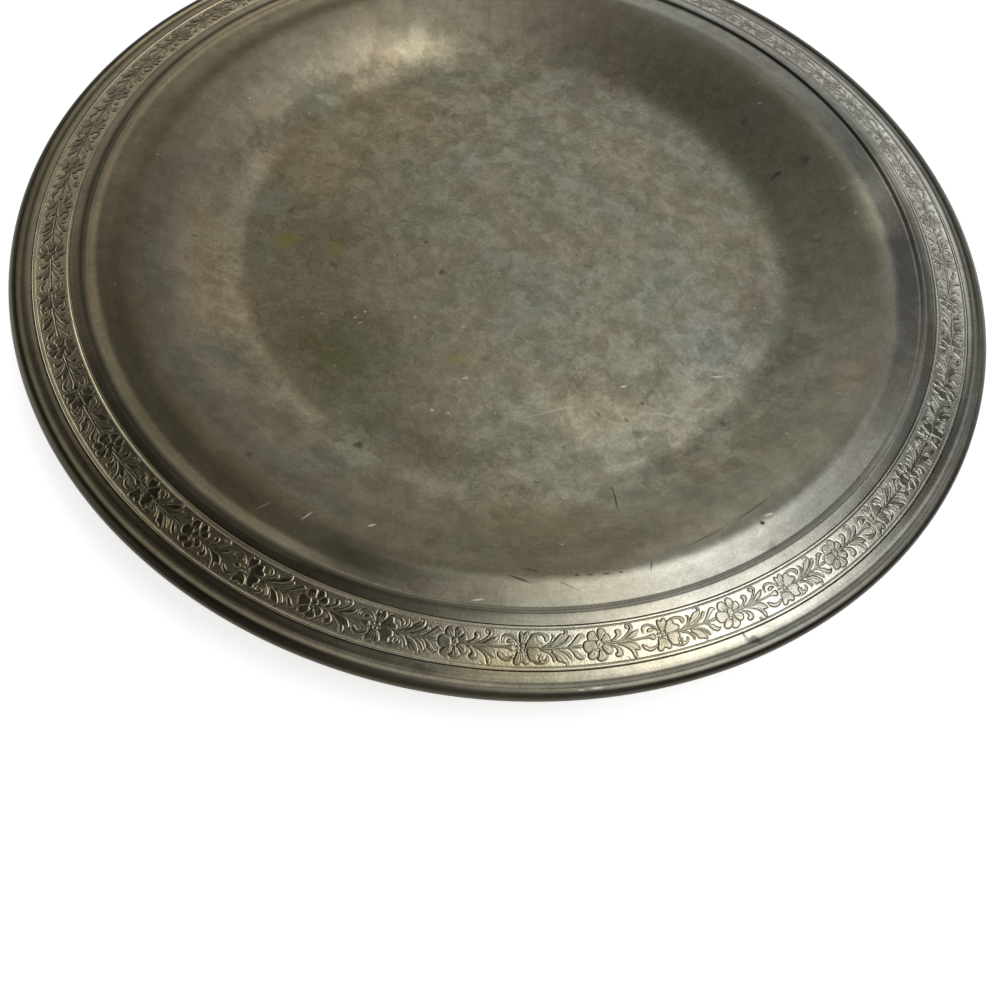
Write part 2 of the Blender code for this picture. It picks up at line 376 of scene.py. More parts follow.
# Petals and the bosses between them, painted last; petals have rays out from the eye given first
flowers = [
    ((0.5, -0.25), [
        [(-0.3, -0.55), (-1.2, -1.15), (-2.2, -1.2), (-2.85, -0.85), (-3.05, -0.1), (-2.85, 0.7),
         (-2.4, 1.2), (-1.75, 1.3), (-1.1, 0.95), (-0.25, 0.8)],
        [(-1.6, -1.4), (-1.9, -2.0), (-1.75, -2.75), (-1.3, -3.2), (-0.6, -3.3), (-0.1, -3.15), (0.1, -2.6),
         (0.35, -1.9), (0.1, -1.3), (-0.7, -1.25)],
        [(0.7, -1.4), (0.45, -2.1), (0.4, -2.9), (0.65, -3.4), (1.2, -3.6), (1.75, -3.4), (2.15, -2.85),
         (2.25, -2.2), (1.9, -1.75), (1.4, -1.35)],
        [(1.4, -0.6), (1.5, -1.25), (1.95, -1.75), (2.4, -2.2), (2.85, -2.2), (3.2, -1.85), (3.35, -1.3),
         (3.15, -0.75), (2.4, -0.5)],
        [(1.1, 0.35), (1.25, 1.0), (1.55, 1.6), (1.9, 2.05), (2.35, 2.2), (2.85, 2.0), (3.15, 1.5),
         (3.2, 0.9), (2.7, 0.4), (1.9, 0.15)],
        [(-0.3, 1.05), (-1.0, 1.1), (-1.6, 1.45), (-2.1, 1.9), (-2.15, 2.4), (-1.75, 2.9), (-1.1, 3.0),
         (-0.55, 2.75), (0.0, 2.3), (0.15, 1.5)],
        [(0.5, 1.1), (0.2, 1.9), (-0.1, 2.5), (-0.35, 2.85), (0.0, 3.25), (0.5, 3.45), (1.1, 3.3),
         (1.65, 2.95), (1.9, 2.4), (1.55, 1.75), (1.05, 1.15)]]),
    ((15.4, 0.0), [
        [(15.3, -1.05), (14.9, -1.9), (14.85, -2.8), (15.05, -3.45), (15.4, -3.42), (15.75, -3.1),
         (16.1, -3.42), (16.55, -3.6), (16.95, -3.2), (17.1, -2.5), (16.9, -1.7), (16.25, -1.15)],
        [(16.4, -0.25), (16.6, -1.3), (17.1, -2.1), (17.5, -2.65), (18.1, -2.8), (18.7, -2.6), (18.9, -1.8),
         (19.4, -1.55), (19.75, -1.1), (19.5, -0.5), (18.4, -0.15), (17.2, 0.0)],
        [(16.75, 0.25), (17.6, 0.12), (18.6, 0.08), (19.2, 0.3), (19.4, 0.9), (19.3, 1.5), (18.85, 1.75),
         (18.9, 2.4), (18.6, 2.8), (17.9, 2.85), (17.3, 2.6), (16.95, 2.0), (16.7, 1.2)],
        [(14.4, 1.05), (14.1, 1.9), (13.8, 2.6), (13.8, 3.2), (14.3, 3.5), (14.8, 3.4), (15.2, 3.0),
         (15.6, 3.05), (16.0, 3.4), (16.5, 3.3), (16.8, 2.8), (16.6, 2.0), (16.15, 1.3), (15.5, 0.98)]]),
]
bosses = [
    [(-0.3, -0.4), (0.1, -1.12), (0.7, -1.28), (1.3, -1.1), (1.45, -0.5), (1.3, 0.2), (0.7, 0.75),
     (0.05, 0.7), (-0.28, 0.2)],
    [(14.1, -0.35), (14.5, -0.75), (14.95, -0.4), (14.55, -0.05)],
    [(15.05, -0.75), (15.7, -0.95), (16.2, -0.5), (15.8, -0.1), (15.15, -0.15)],
    [(14.1, 0.45), (14.5, 0.12), (14.9, 0.4), (14.6, 0.85)],
    [(15.0, 0.4), (15.4, 0.05), (15.85, 0.4), (15.5, 0.8)],
    [(15.95, 0.35), (16.3, 0.0), (16.6, 0.4), (16.3, 0.8)],
]
sprigs = [
    [(1.35, -0.42), (0.75, -0.55), (0.35, -0.2), (0.42, 0.25), (0.95, 0.4)],
    [(1.1, -2.55), (1.0, -2.1), (0.95, -1.55)],
    [(13.85, -1.0), (13.6, -0.5), (13.6, 0.2), (13.85, 0.95)],
    [(22.55, 1.7), (22.95, 2.15), (23.1, 2.8)],
    [(26.85, 1.2), (26.95, 1.9), (26.9, 2.6)],
    [(27.0, -2.75), (27.35, -2.35), (27.4, -1.85)],
    [(10.3, -1.15), (10.9, -1.2), (11.6, -1.15)],
    [(6.2, 3.3), (6.65, 3.4), (6.85, 3.9)],
]


def smoothCurve(points, closed, steps=4):
    # a curve through the points, which may carry a half width as a third value
    line = np.array(points, float)
    if closed:
        padded = np.vstack([line[-1:], line, line[:2]])
    else:
        padded = np.vstack([2 * line[0] - line[1], line, 2 * line[-1] - line[-2]])
    curve = []
    for a, b, c, d in zip(padded, padded[1:], padded[2:], padded[3:]):
        for t in np.linspace(0.0, 1.0, steps, endpoint=False):
            curve.append(0.5 * (2 * b + (c - a) * t + (2 * a - 5 * b + 4 * c - d) * t ** 2
                                + (3 * b - a - 3 * c + d) * t ** 3))
    if not closed:
        curve.append(line[-1])
    return np.array(curve)


def insideOutline(x, y, curve):
    # how far each place lies inside a closed outline, in mm; below nought outside it
    nearest = np.full(x.shape, 9.0)
    within = np.zeros(x.shape, bool)
    for (ax, ay), (bx, by) in zip(curve, np.roll(curve, -1, axis=0)):
        dx, dy = bx - ax, by - ay
        t = np.clip(((x - ax) * dx + (y - ay) * dy) / (dx * dx + dy * dy + 1e-12), 0, 1)
        nearest = np.minimum(nearest, np.hypot(x - ax - t * dx, y - ay - t * dy))
        if ay != by:
            within ^= ((ay > y) != (by > y)) & (x < dx * (y - ay) / dy + ax)
    return np.where(within, nearest, -nearest)


def insideStroke(x, y, curve):
    # the same for a stroke, whose curve carries its half width
    best = np.full(x.shape, -9.0)
    for (ax, ay, aw), (bx, by, bw) in zip(curve, curve[1:]):
        dx, dy = bx - ax, by - ay
        t = np.clip(((x - ax) * dx + (y - ay) * dy) / (dx * dx + dy * dy + 1e-12), 0, 1)
        best = np.maximum(best, aw + t * (bw - aw) - np.hypot(x - ax - t * dx, y - ay - t * dy))
    return best


def placesNear(x, y, curve, pad):
    return ((x > curve[:, 0].min() - pad) & (x < curve[:, 0].max() + pad)
            & (y > curve[:, 1].min() - pad) & (y < curve[:, 1].max() + pad))


def paintShape(field, x, y, curve, stem=False, height=1.0, eye=None):
    # eye: where the rays of a petal start
    near = placesNear(x, y, curve, stroke["aroundStem"] if stem else stroke["aroundShape"])
    if not near.any():
        return
    nx, ny = x[near], y[near]
    inside = insideStroke(nx, ny, curve) if stem else insideOutline(nx, ny, curve)
    rise = np.clip(inside / stroke["slope"], 0, 1)
    top = height * (1 - (1 - rise) ** 2)
    outline = np.exp(-((inside + stroke["outlineAway"]) / stroke["outlineWidth"]) ** 2)
    if eye:
        away = np.hypot(nx - eye[0], ny - eye[1])
        fade = np.clip((stroke["rayEnd"] - away) / stroke["rayFade"], 0, 1)
        ray = np.cos(ornament["rays"] * np.arctan2(ny - eye[1], nx - eye[0])) * fade * rise
        top += ornament["rayHeight"] * ray
        outline = np.maximum(outline, np.clip(-ornament["rayLine"] * ray, 0, 1))
    covered = np.clip(inside / stroke["cover"], 0, 1)
    field["height"][near] = np.where(inside > 0, top, field["height"][near])
    field["line"][near] = np.maximum(field["line"][near] * (1 - covered), outline)
    field["fill"][near] = np.maximum(field["fill"][near], np.clip(inside / stroke["blur"] + 0.5, 0, 1))


def paintVein(field, x, y, curve, depth):
    near = placesNear(x, y, curve, stroke["aroundShape"])
    if near.any():
        thin = np.hstack([curve, np.zeros((len(curve), 1))])
        away = insideStroke(x[near], y[near], thin)
        cut = depth * np.exp(-(away / stroke["veinWidth"]) ** 2)
        field["line"][near] = np.maximum(field["line"][near], cut)


def grownPetal(petal):
    # a petal a little larger than its outline was drawn
    mx = sum(px for px, py in petal) / len(petal)
    my = sum(py for px, py in petal) / len(petal)
    growth = ornament["petalGrowth"]
    return [(mx + growth * (px - mx), my + growth * (py - my)) for px, py in petal]


def paintRepeat(field, x, y, draw):
    # one repeat of the ornament, each shape a little astray as on hand work
    def stray(points):
        move = draw.normal(0.0, stroke["wander"], 2)
        return [(p[0] + move[0], p[1] + move[1]) for p in points]

    for outline, veins in leaves:
        paintShape(field, x, y, smoothCurve(stray(outline), True))
        for vein in veins:
            paintVein(field, x, y, smoothCurve(vein, False), ornament["veinDepth"])
    for points, widths in stems:
        line = [(px, py, w) for (px, py), w in zip(points, widths)]
        paintShape(field, x, y, smoothCurve(line, False), stem=True)
    for boss in bosses:
        paintShape(field, x, y, smoothCurve(boss, True), height=ornament["bossHeight"])
    for eye, group in flowers:
        for petal in group:
            paintShape(field, x, y, smoothCurve(stray(grownPetal(petal)), True), eye=eye)
    for sprig in sprigs:
        paintVein(field, x, y, smoothCurve(sprig, False), ornament["sprigDepth"])


def stripSection():
    # across the strip: a ridge and a groove along each edge, plain ground between them, and the back
    inner, outer = stripInnerEdge, stripOuterEdge
    rows = spread(inner, inner + stripEdge, ornament["edgeRows"])
    count = int((outer - inner - 2 * stripEdge) / ornament["rowSpacing"])
    rows += spread(inner + stripEdge, outer - stripEdge, count)[1:-1]
    rows += spread(outer - stripEdge, outer, ornament["edgeRows"])
    section = []
    for r in rows:
        fromEdge = min(r - inner, outer - r)
        ridge = math.sin(math.pi * min(1.0, fromEdge / ornament["ridgeWidth"])) ** 0.6
        beyond = max(0.0, fromEdge - ornament["ridgeWidth"])
        groove = max(0.0, math.sin(math.pi * min(1.0, beyond / ornament["grooveWidth"])))
        section.append(Vector((r, flangeZ(r) + ornament["ridgeHeight"] * ridge
                               - ornament["grooveDepth"] * groove)))
    return section + [Vector((r, flangeZ(r) - ornament["thickness"])) for r in spread(outer, inner, 4)]


def makeStripBlank(name, start, turn):
    # one length of the strip, still plain
    bm = bmesh.new()
    corners = [bm.verts.new((p.x * math.sin(start), -p.x * math.cos(start), p.y)) for p in stripSection()]
    for i in range(len(corners)):
        bm.edges.new((corners[i - 1], corners[i]))
    spinRound(bm, turn, ornament["stepsPerPiece"], 5)
    bmesh.ops.holes_fill(bm, edges=[e for e in bm.edges if e.is_boundary], sides=0)
    bmesh.ops.recalc_face_normals(bm, faces=bm.faces)
    return finishMesh(name, bm, 60)


def drawOrnament(places, radius, number, start, turn):
    # the shapes' height, dark lines and cover at places on the top of one length
    angle = np.arctan2(places[:, 0], -places[:, 1])
    along = (angle - start + 0.2) % (2 * math.pi) - 0.2 + number * turn
    x = along * stripMiddle / mm
    y = (radius - stripMiddle) / mm
    field = {"height": np.zeros(x.shape), "line": np.zeros(x.shape), "fill": np.zeros(x.shape)}
    pitch = 2 * math.pi / ornament["repeats"] * stripMiddle / mm
    first = int(number * ornament["repeats"] / ornament["pieces"])
    for place in range(first - 1, first + ornament["repeats"] // ornament["pieces"] + 3):
        # shapes that cross a joint are drawn alike from both sides
        draw = np.random.default_rng(ornament["seed"] + place % ornament["repeats"])
        paintRepeat(field, x - place * pitch, y, draw)
    return field


def makeStripPiece(number):
    turn = 2 * math.pi / ornament["pieces"]
    start = ornament["firstFlower"] + number * turn
    piece = makeStripBlank("borderPart%02d" % (number + 1), start, turn)
    mesh = piece.data
    whole = np.zeros(len(mesh.vertices) * 3, np.float32)
    mesh.vertices.foreach_get("co", whole)
    whole = whole.reshape(-1, 3)
    places = whole.astype(float)
    radius = np.hypot(places[:, 0], places[:, 1])
    isTop = places[:, 2] > flangeZ(radius) - ornament["topShare"] * ornament["thickness"]
    places = places[isTop]
    radius = radius[isTop]
    field = drawOrnament(places, radius, number, start, turn)
    fromEdge = np.minimum(radius - stripInnerEdge, stripOuterEdge - radius)
    blend = ornament["edgeBlend"]
    flat = np.clip((fromEdge - stripEdge + blend) / blend, 0, 1)
    grain = np.array([noise.noise(Vector(p) / ornament["stippleSize"]) for p in places])
    lift = ornament["relief"] * field["height"] - ornament["outlineDepth"] * field["line"]
    lift += ornament["stipple"] * grain * (1 - ornament["smoothShapes"] * field["fill"])
    places[:, 2] += flat * lift
    whole[isTop] = places
    mesh.vertices.foreach_set("co", whole.ravel())
    mesh.update()
    grooveMiddle = ornament["ridgeWidth"] + ornament["grooveWidth"] / 2
    grooveAt = np.exp(-((fromEdge - grooveMiddle) / ornament["grooveShade"]) ** 2)
    jointAt = np.exp(-(fromEdge / bodyShape["jointGap"]) ** 2)
    dark = np.maximum(field["line"] * flat, np.maximum(ornament["grooveDark"] * grooveAt, jointAt))
    for name, values in (("shapeMask", field["fill"] * flat), ("outlineMask", dark)):
        full = np.zeros(len(mesh.vertices), np.float32)
        full[isTop] = values
        mesh.attributes.new(name, "FLOAT", "POINT").data.foreach_set("value", full)
    return piece


# Small helpers for the material nodes


class Nodes:
    def __init__(self, tree):
        self.tree = tree
        self.count = 0

    def add(self, kind, inputs=None, **settings):
        node = self.tree.nodes.new(kind)
        node.location = (220 * (self.count % 8) - 1800, -260 * (self.count // 8))
        self.count += 1
        for name, value in settings.items():
            setattr(node, name, value)
        for key, value in (inputs or {}).items():
            self.feed(node.inputs[key], value)
        return node

    def feed(self, socket, value):
        if isinstance(value, bpy.types.NodeSocket):
            self.tree.links.new(value, socket)
        elif isinstance(value, tuple) and len(value) == 3 and socket.type == "RGBA":
            socket.default_value = (*value, 1.0)
        else:
            socket.default_value = value

    def maths(self, operation, a, b=0.0, clamp=False):
        return self.add("ShaderNodeMath", {0: a, 1: b}, operation=operation, use_clamp=clamp).outputs[0]

    def times(self, a, b):
        return self.maths("MULTIPLY", a, b)

    def vector(self, operation, a, b=(0, 0, 0)):
        node = self.add("ShaderNodeVectorMath", {0: a, 1: b}, operation=operation)
        return node.outputs["Value" if operation in ("LENGTH", "DOT_PRODUCT") else "Vector"]

    def noise(self, place, scale, detail=2.0, rough=0.5, twist=0.0):
        inputs = {"Vector": place, "Scale": scale, "Detail": detail, "Roughness": rough, "Distortion": twist}
        return self.add("ShaderNodeTexNoise", inputs).outputs["Fac"]

    def ramp(self, value, low, high, start=0.0, end=1.0):
        inputs = {"Value": value, "From Min": low, "From Max": high, "To Min": start, "To Max": end}
        node = self.add("ShaderNodeMapRange", inputs, interpolation_type="SMOOTHSTEP")
        return node.outputs["Result"]

    def reach(self, value, span, start=0.0, end=1.0):
        # span: where the change begins and where it's complete, in mm
        return self.ramp(value, span[0] * mm, span[1] * mm, start, end)

    def mix(self, amount, a, b, blend="MIX"):
        node = self.add("ShaderNodeMix", data_type="RGBA", blend_type=blend)
        self.feed(node.inputs[0], amount)
        self.feed(node.inputs[6], a)
        self.feed(node.inputs[7], b)
        return node.outputs[2]

    def tint(self, colour, amount, change):
        return self.mix(1.0, colour, self.mix(amount, (1, 1, 1), change), "MULTIPLY")

    def shade(self, colour, value):
        grey = self.add("ShaderNodeCombineColor", {0: value, 1: value, 2: value}).outputs[0]
        return self.mix(1.0, colour, grey, "MULTIPLY")


def newMetal(name, roughness):
    material = bpy.data.materials.new(name)
    material.use_nodes = True
    kit = Nodes(material.node_tree)
    shader = material.node_tree.nodes["Principled BSDF"]
    shader.inputs["Metallic"].default_value = 1.0
    shader.inputs["Roughness"].default_value = roughness
    place = kit.add("ShaderNodeTexCoord").outputs["Object"]
    return material, kit, shader, place


pewterLook = {
    "floor": (0.356, 0.338, 0.268),
    # the wall's colour: painted darker on the left, as shade, and lighter on the right, where the light falls
    "wallPaintedShadeLeft": (0.226, 0.202, 0.150),
    "wallPaintedLightRight": (0.325, 0.301, 0.228),
    "flange": (0.372, 0.348, 0.272),
    "brown": (1.09, 1.0, 0.86),      # tint of the floor and flange on the left
    "cool": (0.955, 1.0, 1.14),      # and of the polished flange at the near right
    "wallTopShade": (0.66, 0.65, 0.63),   # painted shade on the wall's top, on the left and near
    "nearLeftShade": (0.66, 0.65, 0.62),  # painted shade on the shoulder at the near left
    "vein": (0.80, 0.79, 0.74),
    "stepHighlight": (1.7, 1.66, 1.58),       # painted highlight on the step on the left
    "roll": (0.42, 0.42, 0.40),      # painted shade darkening the rolled edge there
    # the dark of dirt, and of painted shade in the step, the crease and under the roll
    "dirtAndShade": (0.045, 0.038, 0.026),
    "paintedRollShade": 0.9,
    "wellRoughness": 0.45,
    "flangeRoughness": 0.24,
    "dullRoughness": 0.36,
    "rollRoughness": (0.2, 0.4),
    "polishWander": 8 * mm,
    "grain": 0.15,                   # strength of the fine unevenness
}

# Where the metal changes, in mm: out from the middle of the bowl, or to the right of it for "Across"
spans = {
    "well": (114, 74),
    "wall": (80, 91),
    "flange": (109, 115),
    "cool": (108, 114),
    "grain": (104, 112),
    "polish": (107, 119),
    "dull": (124, 121),
    "roll": (136, 137.4),
    "brownAcross": (20, -75),
    "coolAcross": (10, 50),
    "dullAcross": (0, -50),
    "stepHighlightAcross": (-10, -45),
    "rollShadeAcross": (5, -45),
    "dirtAndShadeAcross": (60, -30),
}

# Rings round the bowl, in mm from its middle: none, full from, full to, none again
bands = {
    "wall": (80, 90, 106, 112),
    "wallTopShade": (97, 106, 109, 113),
    "shoulder": (109.5, 112.5, 116.6, 118),
    "step": (117, 118.5, 119, 119.8),
}

# Sides of the bowl: a direction, and how squarely a place lies in it where a change begins and is complete
sides = {
    "right": ((0.87, -0.5, 0), -0.35, 0.95),
    "left": ((-0.87, -0.5, 0), -0.15, 0.35),
    "nearLeftShade": ((-0.71, -0.71, 0), 0.72, 0.95),
}

# Mottling, wide to small: the noise (scale, detail, roughness, twist), the part of it used, the two tints
mottling = [
    ((32.0, 4.0, 0.62, 0.2), (0.32, 0.68), (1.04, 0.965, 0.92), (0.95, 1.0, 0.985)),
    ((100.0, 5.0, 0.66, 0.3), (0.41, 0.59), (0.84, 0.84, 0.80), (1.08, 1.09, 1.08)),
    ((240.0, 4.0, 0.7, 0.2), (0.42, 0.60), (0.89, 0.89, 0.87), (1.07, 1.075, 1.08)),
]

# Scattered specks and hair scratches: places per metre, length over width, turn, share of places, size
brightSpecks = (240.0, 1.0, 0.0, 0.24, 0.085)
brightHairs = [(260.0, 8.0, turn, share, 0.05) for turn, share in ((0.55, 0.09), (-0.25, 0.08), (2.2, 0.05))]
darkSpecks = (120.0, 1.3, 1.1, 0.12, 0.10)
darkHairs = (260.0, 12.0, 1.2, 0.05, 0.05)

# Large, soft differences of the patina, and painted highlights and shade where the light falls brighter or
# darker: place (mm from the middle, seen from above), half sizes, turn, tint
patinaAndLightZones = [
    ((-62, 17), (20, 14), 20, (1.06, 0.99, 0.95)),
    ((-44, -46), (34, 26), -35, (0.68, 0.71, 0.62)),
    ((-58, -6), (24, 26), 0, (0.82, 0.82, 0.82)),
    ((10, -74), (60, 12), 12, (0.88, 0.88, 0.86)),
    ((-20, -71), (32, 13), -14, (0.72, 0.73, 0.72)),
    ((28, -78), (22, 7), 20, (1.30, 1.30, 1.28)),
    ((77, -16), (14, 44), 8, (0.82, 0.82, 0.84)),
    ((-66, 20), (12, 28), -10, (1.14, 1.13, 1.12)),
    ((-44, 56), (24, 9), 38, (1.14, 1.13, 1.12)),
    ((-76, 43), (42, 9), 60, (0.66, 0.66, 0.66)),
    # painted highlights on the wall at the left, where it catches the light
    ((-89, -24), (38, 9), -75, (1.40, 1.30, 1.14)),
    ((-79, -43), (18, 9), -62, (1.24, 1.18, 1.10)),
    # painted highlight widening the bright shoulder at the near right
    ((52, -98), (42, 6), 28, (1.28, 1.28, 1.30)),
    ((83, -83), (26, 8), 45, (0.70, 0.70, 0.71)),
    ((112, 30), (11, 24), 0, (2.2, 2.15, 2.0)),
    ((28, 112), (28, 8), -14, (0.82, 0.82, 0.80)),
    ((60, 98), (48, 9), -32, (0.80, 0.80, 0.78)),
    # painted shade at the near left, over the flange and the roll
    ((-91, -91), (64, 14), -45, (0.70, 0.70, 0.70)),
    ((-83, 83), (60, 5), 45, (0.86, 0.86, 0.86)),
    # painted highlight on the wall at the far left
    ((-46, 80), (26, 9), 28, (1.92, 1.84, 1.78)),
    ((-86, 50), (17, 8), 60, (0.76, 0.76, 0.76)),
    ((-62, 62), (14, 8), 45, (1.1, 1.08, 1.06)),
    ((-20, 34), (18, 12), 10, (1.0, 1.04, 1.10)),
    ((62, -26), (18, 24), 0, (0.92, 0.98, 1.14)),
    ((24, -56), (26, 14), 12, (1.22, 1.22, 1.18)),
    ((0, -52), (9, 7), 0, (1.08, 1.10, 1.08)),
    ((-66, 40), (22, 34), -35, (1.12, 1.10, 1.08)),
    ((10, -100), (60, 26), 0, (1.03, 1.0, 0.90)),
    ((44, -124), (30, 14), 20, (1.05, 1.0, 0.86)),
    ((12, -132), (22, 7), 5, (1.08, 1.0, 0.80)),
]

# Spots, stains and scratches: place, half sizes, turn, colour, strength
brightCut = (0.80, 0.77, 0.68)
darkCut = (0.05, 0.043, 0.03)
stain = (0.16, 0.14, 0.10)
olive = (0.20, 0.185, 0.08)
paleBloom = (0.42, 0.40, 0.34)
spots = [
    ((-68.9, -9.1), (4.0, 5.4), 10, (0.38, 0.30, 0.08), 0.6),
    ((-54.3, -10.3), (4.0, 4.6), 0, (0.37, 0.30, 0.10), 0.5),
    ((-73.5, 78.0), (9.0, 6.0), 30, stain, 0.55),
    ((-78.0, 68.0), (3.0, 7.0), -20, stain, 0.35),
    ((-34.4, -75.5), (1.9, 1.3), 20, (0.10, 0.09, 0.05), 0.8),
    ((-20.5, -13.0), (1.2, 2.2), 0, darkCut, 0.6),
    ((-70.2, 3.7), (1.6, 2.0), 0, stain, 0.6),
    ((-53.6, -16.4), (2.8, 1.2), -40, stain, 0.7),
    ((-47.4, -49.1), (9.0, 3.4), -15, olive, 0.5),
    ((-56.0, -43.0), (7.0, 4.0), -50, olive, 0.3),
    ((-12.0, -44.1), (7.0, 2.4), 10, (0.38, 0.33, 0.12), 0.5),
    ((-3.7, -42.1), (3.0, 1.6), 10, (0.24, 0.14, 0.09), 0.55),
    ((-32.4, 10.4), (8.0, 5.0), 20, stain, 0.22),
    ((-18.0, 22.0), (5.0, 2.0), -50, stain, 0.25),
    ((-80.0, 2.8), (5.0, 4.5), 0, paleBloom, 0.5),
    ((-76.0, 7.5), (4.0, 3.5), 0, paleBloom, 0.4),
    ((-6.5, -4.3), (5.5, 4.5), 0, paleBloom, 0.35),
    ((4.3, -26.9), (5.0, 5.0), 0, paleBloom, 0.35),
    ((46.1, -41.2), (4.6, 1.2), -95, olive, 0.55),
    ((43.8, -47.2), (4.0, 1.0), 52, olive, 0.55),
    ((39.7, -53.0), (4.2, 0.9), 56, (0.22, 0.17, 0.09), 0.5),
    ((37.5, -56.1), (1.1, 1.0), 0, (0.20, 0.11, 0.07), 0.8),
    ((41.8, -49.8), (1.3, 1.0), 0, darkCut, 0.6),
    ((29.4, -54.9), (1.3, 1.0), 0, (0.10, 0.10, 0.06), 0.7),
    ((40.8, -60.5), (2.4, 2.2), 0, stain, 0.6),
    ((5.2, -50.3), (6.5, 2.0), 69, olive, 0.4),
    ((6.6, -75.0), (4.0, 1.8), -20, olive, 0.4),
    ((39.8, -99.2), (2.2, 1.4), 60, stain, 0.6),
    ((-7.7, -136.0), (3.4, 1.6), 0, stain, 0.6),
    ((66.8, -118.6), (2.6, 1.3), 32, (0.07, 0.068, 0.06), 0.85),
    ((64.8, -118.2), (1.0, 1.4), 32, (0.07, 0.068, 0.06), 0.8),
    ((70.8, -95.7), (2.6, 1.5), 35, stain, 0.6),
    ((82.6, 44.4), (1.7, 1.6), 0, darkCut, 0.8),
    ((90.5, 46.6), (2.0, 1.6), 0, (0.13, 0.11, 0.10), 0.6),
    ((72.1, 64.9), (1.8, 2.4), 20, darkCut, 0.4),
    ((94.0, 16.6), (2.2, 1.4), -20, stain, 0.5),
    ((48.7, -52.4), (6.0, 1.1), 5, (0.62, 0.60, 0.54), 0.45),
    ((56.5, -64.8), (10.0, 0.8), 17, paleBloom, 0.35),
]
scratches = [
    ((11.4, -112.1), (3.6, 0.40), -13, darkCut, 0.8),
    ((13.7, -109.4), (3.6, 0.25), -6, darkCut, 0.6),
    ((22.9, -112.2), (3.8, 0.25), -19, darkCut, 0.55),
    ((24.6, -109.2), (1.0, 0.40), 12, darkCut, 0.7),
    ((27.6, -108.7), (1.2, 0.35), 8, darkCut, 0.7),
    ((31.4, -107.9), (1.4, 0.40), 14, darkCut, 0.7),
    ((34.8, -107.1), (0.9, 0.35), 12, darkCut, 0.7),
    ((34.9, -82.8), (5.0, 0.40), -84, darkCut, 0.75),
    ((34.2, -79.0), (1.4, 0.50), -60, darkCut, 0.5),
    ((36.0, -45.2), (1.4, 0.35), 20, brightCut, 0.9),
    ((63.3, -37.2), (2.4, 0.28), 10, brightCut, 0.9),
    ((68.0, -84.8), (9.4, 0.30), 42, darkCut, 0.6),
    ((55.1, -95.0), (7.6, 0.30), 35, darkCut, 0.55),
    ((69.2, -89.3), (0.9, 0.80), 0, darkCut, 1.0),
    ((70.9, -86.7), (1.8, 0.42), 25, brightCut, 1.0),
    ((68.2, -113.6), (0.9, 0.80), 0, darkCut, 0.8),
    ((42.0, -104.5), (1.9, 0.40), 86, darkCut, 0.6),
    ((64.7, -53.3), (1.9, 0.60), -65, darkCut, 0.5),
    ((16.3, -56.8), (12.0, 0.40), 24, brightCut, 0.25),
    ((-39.8, -103.6), (2.3, 0.26), 53, brightCut, 0.9),
    ((-50.1, -102.6), (2.6, 0.16), 37, brightCut, 0.8),
    ((-24.7, -103.0), (1.4, 0.35), 30, brightCut, 0.8),
    ((2.4, -118.4), (2.0, 0.30), 14, brightCut, 0.9),
    ((-43.2, -34.4), (0.7, 0.35), 60, brightCut, 0.9),
    ((-52.9, -34.7), (0.6, 0.40), 0, brightCut, 0.8),
    ((-40.8, -31.9), (0.6, 0.45), 30, brightCut, 0.9),
    ((-41.5, -36.1), (1.1, 0.25), 40, brightCut, 0.8),
    ((-26.2, -31.2), (0.7, 0.45), 0, brightCut, 0.8),
    ((-16.6, -61.8), (0.9, 0.50), 0, brightCut, 0.9),
    ((-12.1, -62.1), (0.6, 0.35), 0, brightCut, 0.8),
    ((-11.9, -32.4), (0.7, 0.40), 0, brightCut, 0.8),
    ((-9.0, -49.9), (1.4, 0.50), 15, brightCut, 0.7),
    ((75.7, 70.6), (0.9, 0.5), 10, brightCut, 0.6),
    ((101.0, 33.8), (1.6, 0.4), 40, brightCut, 0.5),
    ((104.1, 23.6), (0.6, 0.5), 0, brightCut, 0.9),
    ((97.7, 46.6), (1.2, 0.4), 30, brightCut, 0.4),
    ((30.8, -134.6), (1.9, 0.35), 13, brightCut, 1.0),
    ((27.4, -135.5), (1.0, 0.30), 12, brightCut, 1.0),
]


def spotMask(kit, flat, middle, sizes, turn, core=0.3):
    inputs = {"Vector": flat, "Location": (middle[0] * mm, middle[1] * mm, 0.0),
              "Rotation": (0.0, 0.0, math.radians(turn)), "Scale": (sizes[0] * mm, sizes[1] * mm, 1.0)}
    inside = kit.add("ShaderNodeMapping", inputs, vector_type="TEXTURE").outputs[0]
    # a gradient and not a length, since Cycles keeps every mapping that waits for one on its short stack
    near = kit.add("ShaderNodeTexGradient", {"Vector": inside}, gradient_type="SPHERICAL").outputs["Fac"]
    return kit.ramp(near, 0.0, 1.0 - core)


def speckMask(kit, place, scale, stretch, turn, share, size):
    # sparse small marks: one in each cell of a grid that is turned and stretched, in a share of the cells
    mapped = kit.add("ShaderNodeMapping", {"Vector": place, "Rotation": (0.0, 0.0, turn),
                                           "Scale": (scale / stretch, scale, scale)}).outputs[0]
    cells = kit.add("ShaderNodeTexVoronoi", {"Vector": mapped, "Scale": 1.0, "Randomness": 1.0})
    near = kit.ramp(cells.outputs["Distance"], 0.4 * size, size, 1.0, 0.0)
    chosen = kit.add("ShaderNodeSeparateColor", {"Color": cells.outputs["Color"]}).outputs[0]
    return kit.times(near, kit.ramp(chosen, share, 0.8 * share, 0.0, 1.0))


